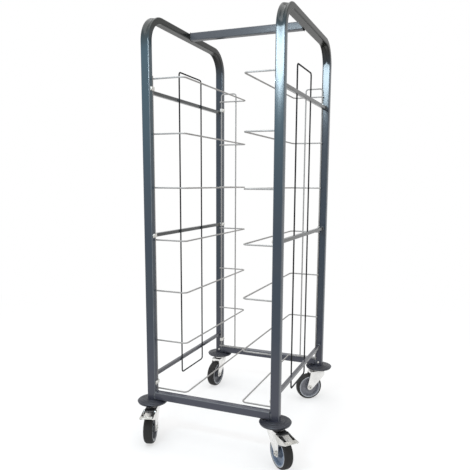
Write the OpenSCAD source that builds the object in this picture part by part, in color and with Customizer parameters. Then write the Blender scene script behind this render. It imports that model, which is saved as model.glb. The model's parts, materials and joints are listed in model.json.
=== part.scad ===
// Tray return trolley: two bent tube hoops, wire tray racks and four swivel castors.
// Millimetres, +Z up. The origin is on the floor, midway between the four castor stems.
// Heights called "above the frame's underside" start where the uprights stand on the bumper discs.

/* [Frame] */
// Width over the two hoops
frame_w = 460; // [420:2:560]
// Depth over the uprights
frame_d = 556; // [500:2:660]
// Height of the hoops above the floor
frame_h = 1352; // [1100:2:1600]
// Wide face of the hoop tube, across the trolley
hoop_face = 30; // [26:1:34]
// Narrow side of the hoop tube, in the plane of its bends
hoop_depth = 20; // [18:1:24]
// Outer radius of the hoop's bends
hoop_bend = 85; // [60:1:100]
// Square tube of the bottom rails and of the top crossbar
rail_t = 25; // [22:1:28]
// Wall of the frame tubes
tube_wall = 1.5; // [1:0.1:2]
// Radius on the long edges of the frame tubes
tube_round = 3.5; // [3:0.1:5]

/* [Side bars and loops] */
// Square tube of the side bars
bar_t = 12; // [10:0.5:15]
// Wall of the side bars
bar_wall = 1.2; // [1:0.1:1.5]
// Radius on the long edges of the side bars
bar_round = 2; // [1.8:0.1:3]
// Lower bars, above the frame's underside
lower_bar_z = 77; // [70:1:90]
// Middle bars, above the middle tray level
middle_bar_rise = 14; // [8:0.5:40]
// Upper bars, below the top of the hoops
upper_bar_drop = 231; // [215:1:260]
// Distance between the two upright runs of a side loop
loop_w = 162; // [120:2:220]
// Bottom run of the side loops, above the frame's underside
loop_bottom_z = 27; // [20:1:40]
// Top run of the side loops, below the top of the hoops
loop_top_drop = 140; // [120:1:180]
// Bend radius of the side loops
loop_bend = 9; // [6:0.5:15]

/* [Tray racks] */
// Wire of the racks and of the side loops
wire_d = 5; // [4:0.25:6]
// Lowest tray level, above the frame's underside
low_level_z = 30; // [29:0.5:32]
// Highest tray level, below the top of the hoops
top_level_drop = 191.8; // [185:0.2:205]
// Gap between the left and the right tray runs, centre to centre
run_spacing = 194; // [150:2:240]
// Bend radius of the tray wires' corners
tray_bend = 14; // [8:0.5:25]
// Distance between the left and the right tray stop, centre to centre
stop_spacing = 283; // [250:1:320]
// Top of the tray stops, below the top of the hoops
stop_top_drop = 162; // [140:1:175]
// Bend radius of the tray stops
stop_bend = 9; // [6:0.5:15]
// Length of a rack leg past the outermost tray level
leg_overhang = 8; // [5:0.5:11]
// Lower clips of the rack legs, above the lowest tray level
lower_clip_rise = 26; // [16:0.5:40]
// Middle clips of the rack legs, above the middle tray level
middle_clip_rise = 15; // [13:0.5:30]
// Upper clips of the rack legs, below the highest tray level
upper_clip_drop = 31; // [20:0.5:45]

/* [Castors] */
// Diameter of the wheels
wheel_d = 100; // [92:1:100]
// Width of the tyres
tread_w = 30; // [26:0.5:31]
// Distance of the axle behind the stem
trail = 40; // [37:0.5:42]
// Height of a castor, from the floor to the underside of its bumper disc
castor_h = 124; // [124:0.5:132]
// Diameter of the bumper discs
bumper_d = 100; // [80:1:130]
// Thickness of the bumper discs at the middle
bumper_t = 12; // [10:0.5:16]
// Direction in which the front left wheel trails
front_left_swivel = -71; // [-180:1:180]
// Direction in which the front right wheel trails
front_right_swivel = -42; // [-180:1:180]
// Direction in which the back left wheel trails
back_left_swivel = -94; // [-180:1:180]
// Direction in which the back right wheel trails
back_right_swivel = -145; // [-180:1:180]

/* [Brake pedals] */
// Width of the foot lip
pedal_w = 44; // [43:0.5:60]
// Width of the tongue between the pedal's cheeks
tongue_w = 21; // [16:0.5:30]
// Length of the pedal from its pivot to its tip
pedal_reach = 61; // [59:0.5:72]
// Sheet of the pedal
pedal_t = 2; // [1.5:0.1:2.2]
// Angle by which the front left pedal is pressed down
front_left_press = 0; // [0:0.5:7]
// Angle by which the front right pedal is pressed down
front_right_press = 4; // [0:0.5:7]

/* [Fits] */
// Radial running clearance of wheels, swivels and pedals
run_fit = 0.05; // [0.02:0.01:0.08]
// Gap at a weld, a clamped piece or a pushed-in piece
weld_gap = 0.05; // [0.02:0.01:0.1]
// Radial clearance of the screws and bolts in their holes
hole_clear = 0.1; // [0.05:0.05:0.3]

/* [Hidden] */
levels = 7;
corner_steps = 5;
arc_steps = 10;
round_fn = 48;
wire_fn = 24;
hex_fn = 6;
cut_over = 1;

// Clips and screws of the racks
clip_t = 1.5;
clip_h = 12;
clip_tail = 6;
clip_lip = 8;
screw_d = 4;
screw_head_d = 9.5;
screw_head_h = 3.4;
screw_l = 8;

// Sockets in the uprights and the screws that hold them
socket_h = 45;
stem_d = 11;
stem_l = 50;
stem_screw_z = 10;
screw_tip_gap = 0.5;

// Swivel head, cup and fork
rivet_d = 22;
rivet_h = 4;
king_pin_d = 14;
collar_d = 24;
end_play = 0.3;
cup_h = 12;
cup_gap = 0.6;
cup_d = 44;
cup_flare = 3;
crown_d = 46;
crown_t = 3;
crown_skirt = 10;
crown_reach = 38;
braked_reach = 30;
flange_h = 9;
fork_t = 2.5;
fork_end_r = 11;
fork_front_x = 18;
fork_front_h = 15;
fork_slope_x = 3;
fork_slope_h = 4;
fork_slant = 13;

// Wheel and axle
side_play = 0.8;
hub_d = 26;
hub_l = 31;
web_t = 8;
web_dish = 2;
ring_d = 66;
ring_draft = 2;
rim_d = 84;
rim_w = 27;
shoulder_w = 10;
sleeve_d = 12;
axle_d = 10;
axle_head_d = 16;
axle_head_h = 4.5;

// Brake pedal, measured from its pivot
pivot_rise = 7;
pivot_d = 5;
cheek_gap = 0.4;
cheek_top = 4;
cheek_belly = [[0, -11], [20, -20], [49, -7.5]];
cheek_tip_drop = 3;
cheek_setback = 2;
lip_l = 15;
lip_top = 2.5;
lip_drop = 3;
tongue_x = 20;
tongue_top = 6.5;

// Brake block, measured from the pivot: its upper side, and its clearance from the tyre and the fork
block_top = [[-8, 5.5], [-4, 7.5], [16, 7.5], [19.6, 5.8], [19.6, 3.8], [22, 3.4]];
block_clear = 3.6;
block_side_gap = 0.6;

// Bumper disc: radii and heights of its steps, as shares of its radius and thickness
bumper_step_shares = [
    [0.42, 1], [0.46, 0.92], [0.62, 0.92], [0.66, 0.82],
    [0.80, 0.82], [0.84, 0.70], [0.96, 0.64]
];
bumper_rim_share = 0.45;
bumper_foot_share = 0.95;

// Places that follow from the sizes above
base_z = castor_h + bumper_t;
bend_z = frame_h - hoop_bend;
hoop_x = frame_w / 2 - hoop_face / 2;
inner_x = frame_w / 2 - hoop_face;
stem_y = frame_d / 2 - hoop_depth / 2;
inner_y = frame_d / 2 - hoop_depth;
wire_r = wire_d / 2;
// The rack legs stand where the flat of the upright's face begins
leg_x = inner_x + tube_round;
leg_y = inner_y - wire_r - weld_gap;
tray_y = leg_y - wire_d - weld_gap;
run_x = run_spacing / 2;
stop_x = stop_spacing / 2;
tray_end_x = leg_x + wire_d;
low_level = base_z + low_level_z;
top_level = frame_h - top_level_drop;
level_pitch = (top_level - low_level) / (levels - 1);
middle_level = (low_level + top_level) / 2;
loop_x = hoop_x - bar_t / 2 - wire_r - weld_gap;
bar_names = ["upper", "middle", "lower"];
bar_heights = [frame_h - upper_bar_drop, middle_level + middle_bar_rise, base_z + lower_bar_z];
clip_heights = [
    top_level - upper_clip_drop, middle_level + middle_clip_rise, low_level + lower_clip_rise
];

screw_hole_d = screw_d + 2 * hole_clear;

wheel_r = wheel_d / 2;
crown_top = castor_h - cup_h - cup_gap;
crown_under = crown_top - crown_t;
fork_gap = hub_l + 2 * side_play;
fork_out = fork_gap / 2 + fork_t;
pivot_z = wheel_d + pivot_rise;

side_names = ["left", "right"];
side_signs = [-1, 1];
corner_names = ["front_left", "front_right", "back_left", "back_right"];
corner_pieces = ["bumper", "fork", "axle", "rim", "tyre"];
brake_pieces = ["pedal", "brake_block"];
corner_signs = [[-1, -1], [1, -1], [-1, 1], [1, 1]];
corner_swivels = [front_left_swivel, front_right_swivel, back_left_swivel, back_right_swivel];
corner_brakes = [true, true, false, false];
corner_presses = [front_left_press, front_right_press];

paint = [0.29, 0.31, 0.36];
zinc = [0.78, 0.79, 0.80];
bumper_grey = [0.24, 0.25, 0.28];
plastic_black = [0.08, 0.08, 0.09];
rim_grey = [0.52, 0.55, 0.60];
tyre_black = [0.12, 0.12, 0.12];

// Outline of a rectangle with round corners
function rounded_rect(w, h, r) = [
    for (quarter = [0:3])
        let (sx = (quarter == 0 || quarter == 3) ? 1 : -1, sy = quarter < 2 ? 1 : -1)
            for (step = [0:corner_steps])
                let (a = 90 * (quarter + step / corner_steps))
                    [sx * (w / 2 - r) + r * cos(a), sy * (h / 2 - r) + r * sin(a)]
];

// Points of an arc about a centre
function arc(centre, r, from, to) = [
    for (step = [0:arc_steps])
        let (a = from + (to - from) * step / arc_steps)
            [centre[0] + r * cos(a), centre[1] + r * sin(a)]
];

function unit(v) = v / norm(v);

// Left turn, in degrees, from one direction to the next
function turn(u, v) = atan2(u[0] * v[1] - u[1] * v[0], u * v);

module tube_section(w, h, r, wall) {
    difference() {
        polygon(rounded_rect(w, h, r));
        polygon(rounded_rect(w - 2 * wall, h - 2 * wall, r - wall));
    }
}

module tube_along_y(length, w, h, r, wall) {
    rotate([90, 0, 0])
        linear_extrude(length, center = true)
            tube_section(w, h, r, wall);
}

module tube_along_x(length, w, h, r, wall) {
    rotate([90, 0, 90])
        linear_extrude(length, center = true)
            tube_section(w, h, r, wall);
}

// Round wire along a flat path, with a bend at each inner point, or at all points of a closed one
module flat_wire(path, bend, closed = false) {
    n = len(path);
    last = closed ? n - 1 : n - 2;
    function at(k) = path[(k + n) % n];
    function heading(k) = unit(at(k + 1) - at(k));
    function bent(k) = closed || (k > 0 && k < n - 1);
    function setback(k) = bent(k) ? bend * tan(abs(turn(heading(k - 1), heading(k))) / 2) : 0;
    for (k = [0:last]) {
        start = at(k) + heading(k) * setback(k);
        end = at(k + 1) - heading(k) * setback(k + 1);
        translate([start[0], start[1], 0])
            rotate([0, 0, atan2(heading(k)[1], heading(k)[0])])
                rotate([0, 90, 0])
                    cylinder(d = wire_d, h = norm(end - start), $fn = wire_fn);
        if (bent(k)) {
            angle = turn(heading(k - 1), heading(k));
            hand = sign(angle);
            centre = start + hand * bend * [-heading(k)[1], heading(k)[0]];
            from = atan2(start[1] - centre[1], start[0] - centre[0]) - max(angle, 0);
            translate([centre[0], centre[1], 0])
                rotate([0, 0, from])
                    rotate_extrude(angle = abs(angle), $fn = round_fn)
                        translate([bend, 0])
                            circle(d = wire_d, $fn = wire_fn);
        }
    }
}

// Puts a piece made for the back right upright on another upright
module at_upright(signs) {
    mirror([signs[0] < 0 ? 1 : 0, 0, 0])
        mirror([0, signs[1] < 0 ? 1 : 0, 0])
            children();
}

// Places of the rack screws, on the inner face of the back right upright
module at_rack_screws() {
    for (height = clip_heights)
        translate([inner_x, stem_y, height])
            rotate([0, -90, 0])
                children();
}

// Place of the socket screw, on the face of the back right upright that looks into the trolley
module at_stem_screw() {
    translate([hoop_x, inner_y, base_z + stem_screw_z])
        rotate([90, 0, 0])
            children();
}

// Puts a castor's piece, modelled with its stem at the origin and trailing along +X, on corner k
module at_castor(k) {
    translate([corner_signs[k][0] * hoop_x, corner_signs[k][1] * stem_y, 0])
        rotate([0, 0, corner_swivels[k]])
            children();
}

module at_axle() {
    translate([trail, 0, wheel_r])
        rotate([90, 0, 0])
            children();
}

// Domed screw whose head sits on z = 0
module dome_screw(length) {
    rotate_extrude($fn = round_fn)
        polygon(concat(
            [[0, -length], [screw_d / 2, -length], [screw_d / 2, 0]],
            [for (step = [0:arc_steps])
                let (a = 90 * step / arc_steps)
                    [screw_head_d / 2 * cos(a), screw_head_h * sin(a)]]
        ));
}

module hoop_elbow(sign) {
    rotate([0, 90, 0])
        rotate([0, 0, sign < 0 ? 180 : 90])
            rotate_extrude(angle = 90, $fn = round_fn)
                translate([hoop_bend - hoop_depth / 2, 0])
                    tube_section(hoop_depth, hoop_face, tube_round, tube_wall);
}

module hoop(side) {
    color(paint)
        difference() {
            translate([side * hoop_x, 0, 0])
                union() {
                    for (sign = side_signs) {
                        translate([0, sign * stem_y, base_z])
                            linear_extrude(bend_z - base_z)
                                tube_section(hoop_face, hoop_depth, tube_round, tube_wall);
                        translate([0, sign * (frame_d / 2 - hoop_bend), bend_z])
                            hoop_elbow(sign);
                    }
                    translate([0, 0, frame_h - hoop_depth / 2])
                        tube_along_y(frame_d - 2 * hoop_bend, hoop_face, hoop_depth, tube_round, tube_wall);
                }
            for (sign = side_signs)
                at_upright([side, sign]) {
                    at_rack_screws()
                        wall_hole();
                    at_stem_screw()
                        wall_hole();
                }
        }
}

// Screw hole through the tube wall that lies below z = 0
module wall_hole() {
    translate([0, 0, -tube_wall - cut_over])
        cylinder(d = screw_hole_d, h = tube_wall + 2 * cut_over, $fn = wire_fn);
}

module top_crossbar() {
    color(paint)
        translate([0, 0, frame_h - hoop_depth / 2])
            tube_along_x(2 * inner_x, rail_t, rail_t, tube_round, tube_wall);
}

module bottom_rail(sign) {
    color(paint)
        translate([0, sign * stem_y, base_z + rail_t / 2])
            tube_along_x(2 * inner_x, rail_t, rail_t, tube_round, tube_wall);
}

module side_bar(side, height) {
    color(paint)
        translate([side * hoop_x, 0, height])
            tube_along_y(2 * inner_y, bar_t, bar_t, bar_round, bar_wall);
}

// Closed wire loop on the inner faces of the side bars, which keeps the trays from moving sideways
module side_loop(side) {
    low = base_z + loop_bottom_z;
    high = frame_h - loop_top_drop;
    color(paint)
        translate([side * loop_x, 0, 0])
            rotate([90, 0, 90])
                flat_wire(
                    [[-loop_w / 2, low], [loop_w / 2, low], [loop_w / 2, high], [-loop_w / 2, high]],
                    loop_bend, closed = true
                );
}

module front_leg_wire(side) {
    color(zinc)
        translate([side * leg_x, -leg_y, low_level - leg_overhang])
            cylinder(d = wire_d, h = top_level - low_level + 2 * leg_overhang, $fn = wire_fn);
}

// Rack leg at the back, bent over at the top and down again as the tray stop
module back_stop_wire(side) {
    high = frame_h - stop_top_drop;
    color(zinc)
        translate([0, leg_y, 0])
            rotate([90, 0, 0])
                flat_wire(
                    [
                        [side * leg_x, low_level - leg_overhang],
                        [side * leg_x, high],
                        [side * stop_x, high],
                        [side * stop_x, base_z + rail_t + weld_gap]
                    ],
                    stop_bend
                );
}

// Bent wire that carries one side of a tray. Level 1 is the highest.
module tray_wire(side, level) {
    color(zinc)
        translate([0, 0, low_level + (levels - level) * level_pitch])
            flat_wire(
                [
                    [side * tray_end_x, -tray_y],
                    [side * run_x, -tray_y],
                    [side * run_x, tray_y],
                    [side * tray_end_x, tray_y]
                ],
                tray_bend
            );
}

// Angle clips that hold the rack legs against the uprights
module rack_clips() {
    near = stem_y - leg_y + wire_r + weld_gap;
    far = near + clip_t;
    color(zinc)
        for (signs = corner_signs)
            at_upright(signs)
                difference() {
                    for (height = clip_heights)
                        translate([inner_x, stem_y, height - clip_h / 2])
                            rotate([0, 0, 180])
                                linear_extrude(clip_h)
                                    polygon([
                                        [0, -clip_tail], [clip_t, -clip_tail], [clip_t, far],
                                        [-clip_lip, far], [-clip_lip, near], [0, near]
                                    ]);
                    at_rack_screws()
                        translate([0, 0, -cut_over])
                            cylinder(d = screw_hole_d, h = clip_t + 2 * cut_over, $fn = wire_fn);
                }
}

// Screws of the rack clips and of the stem sockets
module frame_screws() {
    color(zinc)
        for (signs = corner_signs)
            at_upright(signs) {
                at_rack_screws()
                    translate([0, 0, clip_t])
                        dome_screw(screw_l);
                at_stem_screw()
                    dome_screw(hoop_depth / 2 - stem_d / 2 - screw_tip_gap);
            }
}

// Plugs in the feet of the uprights, bored for the castor stems
module stem_sockets() {
    inset = tube_wall + weld_gap;
    w = hoop_face - 2 * inset;
    h = hoop_depth - 2 * inset;
    color(plastic_black)
        for (signs = corner_signs)
            at_upright(signs)
                difference() {
                    translate([hoop_x, stem_y, base_z])
                        linear_extrude(socket_h)
                            polygon(rounded_rect(w, h, tube_round - inset));
                    translate([hoop_x, stem_y, base_z - cut_over])
                        cylinder(d = stem_d + 2 * run_fit, h = socket_h + 2 * cut_over, $fn = round_fn);
                    at_stem_screw()
                        translate([0, 0, -hoop_depth / 2])
                            cylinder(d = screw_hole_d, h = hoop_depth / 2, $fn = wire_fn);
                }
}

// Disc that keeps walls off the castor, with steps on its upper side
module bumper(k) {
    r = bumper_d / 2;
    color(bumper_grey)
        at_castor(k)
            translate([0, 0, castor_h])
                rotate_extrude($fn = 2 * round_fn)
                    polygon(concat(
                        [[stem_d / 2 + run_fit, 0], [r * bumper_foot_share, 0]],
                        [[r, bumper_t * bumper_rim_share]],
                        [for (k = [len(bumper_step_shares) - 1:-1:0])
                            [r * bumper_step_shares[k][0], bumper_t * bumper_step_shares[k][1]]],
                        [[stem_d / 2 + run_fit, bumper_t]]
                    ));
}

// Stem, collar, king pin and rivet head that carry a fork
module castor_heads() {
    rivet_top = crown_under - end_play;
    rivet_low = rivet_top - rivet_h;
    collar_low = crown_top + end_play;
    color(zinc)
        for (k = [0:len(corner_names) - 1])
            at_castor(k)
                rotate_extrude($fn = round_fn)
                    polygon([
                        [0, rivet_low], [rivet_d / 2, rivet_low], [rivet_d / 2, rivet_top],
                        [king_pin_d / 2, rivet_top], [king_pin_d / 2, collar_low],
                        [collar_d / 2, collar_low], [collar_d / 2, castor_h],
                        [stem_d / 2, castor_h], [stem_d / 2, castor_h + stem_l], [0, castor_h + stem_l]
                    ]);
}

// Pressed cups that cover the swivel races
module swivel_cups() {
    color(zinc)
        for (k = [0:len(corner_names) - 1])
            at_castor(k)
                rotate_extrude($fn = round_fn)
                    polygon([
                        [collar_d / 2 + weld_gap, castor_h - cup_h],
                        [cup_d / 2, castor_h - cup_h],
                        [cup_d / 2 - cup_flare, castor_h],
                        [collar_d / 2 + weld_gap, castor_h]
                    ]);
}

// Direction from the axle at which a line to a place touches the round end of a fork leg on one side
function fork_touch(place, side) =
    let (way = place - [trail, wheel_r])
        atan2(way[1], way[0]) + side * acos(fork_end_r / norm(way));

// Outline of a fork leg, seen from the side: x along the trail, y up
function fork_leg(slant) =
    let (
        front = [-fork_front_x, crown_top - fork_front_h],
        back = [trail + fork_end_r - slant, crown_top - fork_slope_h]
    )
    concat(
        [[-fork_front_x, crown_top]],
        [front],
        arc([trail, wheel_r], fork_end_r, fork_touch(front, 1), fork_touch(back, -1) + 360),
        [back, [back[0] - fork_slope_x, crown_top]]
    );

module fork(k) {
    skirt_z = crown_top - crown_skirt;
    bore_h = crown_skirt - crown_t;
    reach = corner_brakes[k] ? braked_reach : crown_reach;
    slant = corner_brakes[k] ? 0 : fork_slant;
    color(zinc)
        at_castor(k)
            difference() {
                union() {
                    difference() {
                        translate([0, 0, skirt_z])
                            cylinder(d = crown_d, h = crown_skirt, $fn = round_fn);
                        translate([0, 0, skirt_z - cut_over])
                            cylinder(d = crown_d - 2 * fork_t, h = bore_h + cut_over, $fn = round_fn);
                    }
                    translate([-fork_front_x, -fork_out, crown_under])
                        cube([fork_front_x + reach, 2 * fork_out, crown_t]);
                    if (!corner_brakes[k])
                        translate([reach - fork_t, -fork_out, crown_top - flange_h])
                            cube([fork_t, 2 * fork_out, flange_h]);
                    for (sign = side_signs)
                        translate([0, sign * (fork_out - fork_t / 2), 0])
                            rotate([90, 0, 0])
                                linear_extrude(fork_t, center = true)
                                    polygon(fork_leg(slant));
                }
                translate([0, 0, crown_under - cut_over])
                    cylinder(d = king_pin_d + 2 * run_fit, h = crown_t + 2 * cut_over, $fn = round_fn);
                cross_hole([trail, wheel_r], axle_d + 2 * hole_clear);
                if (corner_brakes[k])
                    cross_hole([trail, pivot_z], pivot_d + 2 * run_fit);
            }
}

// Hole through both fork legs at a place [x, z]
module cross_hole(place, d) {
    translate([place[0], 0, place[1]])
        rotate([90, 0, 0])
            cylinder(d = d, h = 2 * (fork_out + cut_over), center = true, $fn = round_fn);
}

// Bolt with its sleeve between the fork legs and its nut
module axle(k) {
    color(zinc)
        at_castor(k)
            at_axle() {
                cylinder(d = sleeve_d, h = fork_gap - 2 * weld_gap, center = true, $fn = round_fn);
                cylinder(d = axle_d, h = 2 * (fork_out + axle_head_h / 2), center = true, $fn = round_fn);
                for (sign = side_signs)
                    translate([0, 0, sign * (fork_out + weld_gap + axle_head_h / 2)])
                        cylinder(d = axle_head_d, h = axle_head_h, center = true, $fn = hex_fn);
            }
}

module rim(k) {
    half = [
        [sleeve_d / 2 + run_fit, hub_l / 2], [hub_d / 2, hub_l / 2],
        [hub_d / 2 + web_dish, web_t / 2], [ring_d / 2, web_t / 2 + web_dish],
        [ring_d / 2 + ring_draft, rim_w / 2], [rim_d / 2, rim_w / 2]
    ];
    color(rim_grey)
        at_castor(k)
            at_axle()
                rotate_extrude($fn = 2 * round_fn)
                    polygon(concat(half, [for (j = [len(half) - 1:-1:0]) [half[j][0], -half[j][1]]]));
}

module tyre(k) {
    depth = wheel_r - rim_d / 2;
    flat = tread_w / 2 - shoulder_w;
    half = [
        for (step = [0:arc_steps])
            let (a = 90 * step / arc_steps)
                [rim_d / 2 + depth * cos(a), flat + shoulder_w * sin(a)]
    ];
    color(tyre_black)
        at_castor(k)
            at_axle()
                rotate_extrude($fn = 2 * round_fn)
                    polygon(concat([for (j = [len(half) - 1:-1:0]) [half[j][0], -half[j][1]]], half));
}

// Puts a piece drawn in the side view, from the pedal's pivot and unpressed, on a castor
module at_pivot(k) {
    at_castor(k)
        translate([trail, 0, pivot_z])
            rotate([90, 0, 0])
                rotate([0, 0, -corner_presses[k]])
                    children();
}

// Foot pedal of the wheel brake: pin, two cheeks, tongue and foot lip
module pedal(k) {
    cheek_y = fork_out + cheek_gap + pedal_t / 2;
    cheek_x = pedal_reach - cheek_setback;
    lip_x = pedal_reach - lip_l;
    color(zinc)
        at_pivot(k) {
            cylinder(d = pivot_d, h = 2 * cheek_y, center = true, $fn = round_fn);
            for (sign = side_signs)
                translate([0, 0, sign * cheek_y])
                    linear_extrude(pedal_t, center = true)
                        polygon(concat(
                            [[cheek_x, lip_top]],
                            arc([0, 0], cheek_top, 90, 180),
                            cheek_belly,
                            [[cheek_x, -cheek_tip_drop]]
                        ));
            linear_extrude(tongue_w, center = true)
                polygon([
                    [tongue_x, tongue_top], [tongue_x, tongue_top - pedal_t],
                    [lip_x, lip_top - pedal_t], [lip_x, lip_top]
                ]);
            linear_extrude(pedal_w, center = true)
                polygon([
                    [lip_x, lip_top], [lip_x, lip_top - pedal_t],
                    [pedal_reach - pedal_t, lip_top - pedal_t], [pedal_reach - pedal_t, lip_top - lip_drop],
                    [pedal_reach, lip_top - lip_drop], [pedal_reach, lip_top]
                ]);
        }
}

// Plastic block behind the tongue, hollow to the tyre that it presses
module brake_block(k) {
    r = wheel_r + block_clear;
    rise = pivot_z - wheel_r;
    first = block_top[0][0];
    last = block_top[len(block_top) - 1][0];
    hole_l = fork_gap + 2 * cut_over;
    color(plastic_black)
        at_pivot(k)
            difference() {
                linear_extrude(fork_gap - 2 * block_side_gap, center = true)
                    polygon(concat(block_top, arc([0, -rise], r, acos(last / r), acos(first / r))));
                cylinder(d = pivot_d + 2 * weld_gap, h = hole_l, center = true, $fn = round_fn);
            }
}

for (s = [0:len(side_names) - 1]) {
    side = side_names[s];
    sign = side_signs[s];
    hoop(sign);
    for (b = [0:len(bar_names) - 1])
        side_bar(sign, bar_heights[b]);
    side_loop(sign);
    front_leg_wire(sign);
    back_stop_wire(sign);
    for (level = [1:levels])
        tray_wire(sign, level);
}
top_crossbar();
bottom_rail(-1);  // front_bottom_rail
bottom_rail(1);  // back_bottom_rail
rack_clips();
frame_screws();
stem_sockets();
castor_heads();
swivel_cups();
for (k = [0:len(corner_names) - 1]) {
    corner = corner_names[k];
    bumper(k);
    fork(k);
    axle(k);
    rim(k);
    tyre(k);
    if (corner_brakes[k]) {
        pedal(k);
        brake_block(k);
    }
}
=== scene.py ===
"""Looks of a tray return trolley: paint, zinc, rubber, weld beads and a plain studio."""
import json
import logging
import math
from dataclasses import dataclass
from enum import Enum
from functools import cached_property
from typing import Any, Callable, Iterable, Sequence, Union

import bmesh
import bpy
from bpy.types import Material, Node, NodeSocket, Object
from mathutils import Matrix, Vector


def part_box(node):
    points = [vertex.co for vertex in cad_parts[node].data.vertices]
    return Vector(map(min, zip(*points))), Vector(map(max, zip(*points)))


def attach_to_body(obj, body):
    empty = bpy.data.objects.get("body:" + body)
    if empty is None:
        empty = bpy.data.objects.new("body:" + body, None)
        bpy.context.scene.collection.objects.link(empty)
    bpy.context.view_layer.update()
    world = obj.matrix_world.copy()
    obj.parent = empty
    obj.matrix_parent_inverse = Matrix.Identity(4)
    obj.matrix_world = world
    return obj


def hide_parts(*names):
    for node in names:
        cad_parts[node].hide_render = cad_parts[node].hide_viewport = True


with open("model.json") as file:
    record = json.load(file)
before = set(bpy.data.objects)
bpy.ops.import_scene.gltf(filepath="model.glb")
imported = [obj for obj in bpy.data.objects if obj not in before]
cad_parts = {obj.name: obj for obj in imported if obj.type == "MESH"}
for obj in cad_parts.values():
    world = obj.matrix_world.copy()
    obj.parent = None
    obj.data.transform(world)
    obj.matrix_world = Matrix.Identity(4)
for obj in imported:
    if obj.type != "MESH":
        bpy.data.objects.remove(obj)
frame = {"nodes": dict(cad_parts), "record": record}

Span = tuple[float, float]
Triple = tuple[float, float, float]
Colour = tuple[float, float, float]
Operand = Union["Signal", float]
Tint = Union["Signal", Colour]

LOG = logging.getLogger("trolley")
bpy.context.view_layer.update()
BOTH = (-1, 1)
BAR_LEVELS = ("upper", "middle", "lower")
SEEN_RAYS = ("Is Camera Ray", "Is Glossy Ray", "Is Transmission Ray")
WHITE: Colour = (1.0, 1.0, 1.0)

# Noise between these two values fades in, as patches of another colour or as dull places.
PATCHES: Span = (0.35, 0.75)
FEW_PATCHES: Span = (0.42, 0.75)
DULL: Span = (0.3, 0.8)

# Edges up to these angles are smoothed, in degrees.
SOFT_ANGLE = 40.0
WELD_ANGLE = 70.0

# Points this close become one, and points this close count as one place, in metres.
MERGE = 0.000005
SAME_PLACE = 0.0001

# A face whose normal has this share of Z looks along the axis.
FACING = 0.9


class Corner(Enum):
    """Corners of the trolley, by the words that their nodes and bodies begin with."""

    FRONT_LEFT = "front_left"
    FRONT_RIGHT = "front_right"
    BACK_LEFT = "back_left"
    BACK_RIGHT = "back_right"

    @property
    def braked(self) -> bool:
        """Whether the corner's castor has a brake pedal."""
        return self in (Corner.FRONT_LEFT, Corner.FRONT_RIGHT)


class Tube(Enum):
    """Ways that a frame tube runs, by the axes that only its rounded edges share."""

    HOOP = ("X", "YZ")
    ALONG_X = ("Y", "Z")
    ALONG_Y = ("X", "Z")


class Owner(Enum):
    """What a node tree belongs to, by its place in the file and its output node."""

    MATERIAL = ("materials", "ShaderNodeOutputMaterial")
    WORLD = ("worlds", "ShaderNodeOutputWorld")


class Element(Enum):
    """Kinds of mesh element that can be selected."""

    VERTS = "VERT"
    EDGES = "EDGE"
    FACES = "FACE"


class Signal:
    """A shader value that Python's operators combine through Math nodes."""

    def __init__(self, graph: "Graph", socket: NodeSocket) -> None:
        """Wraps one output socket of a graph."""
        self.graph = graph
        self.socket = socket

    def _maths(self, operation: str, first: Operand, second: Operand) -> "Signal":
        """Adds one Math node and wraps its value."""
        return self.graph.value("ShaderNodeMath", {"operation": operation}, {0: first, 1: second})

    def __add__(self, other: Operand) -> "Signal":
        """Sum, with a number on either side."""
        return self._maths("ADD", self, other)

    def __sub__(self, other: Operand) -> "Signal":
        """Difference."""
        return self._maths("SUBTRACT", self, other)

    def __rsub__(self, other: float) -> "Signal":
        """Difference from a number."""
        return self._maths("SUBTRACT", other, self)

    def __mul__(self, other: Operand) -> "Signal":
        """Product, with a number on either side."""
        return self._maths("MULTIPLY", self, other)

    __radd__ = __add__
    __rmul__ = __mul__

    def least(self, other: Operand) -> "Signal":
        """Smaller of two values."""
        return self._maths("MINIMUM", self, other)

    def wave(self, length: float) -> "Signal":
        """Sine of the value, from 0 to 1, by the length of one wave."""
        return 0.5 + 0.5 * self._maths("SINE", self * (math.tau / length), 0.0)

    def step(self, low: float, high: float, start: float = 0.0, end: float = 1.0) -> "Signal":
        """Smooth step between two values.

        Args:
            low: value at which the step begins.
            high: value at which it ends.
            start: result below the step.
            end: result above it.

        Returns:
            The stepped value.
        """
        return self.graph.value(
            "ShaderNodeMapRange",
            {"interpolation_type": "SMOOTHSTEP"},
            {"Value": self, "From Min": low, "From Max": high, "To Min": start, "To Max": end},
        )


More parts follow.
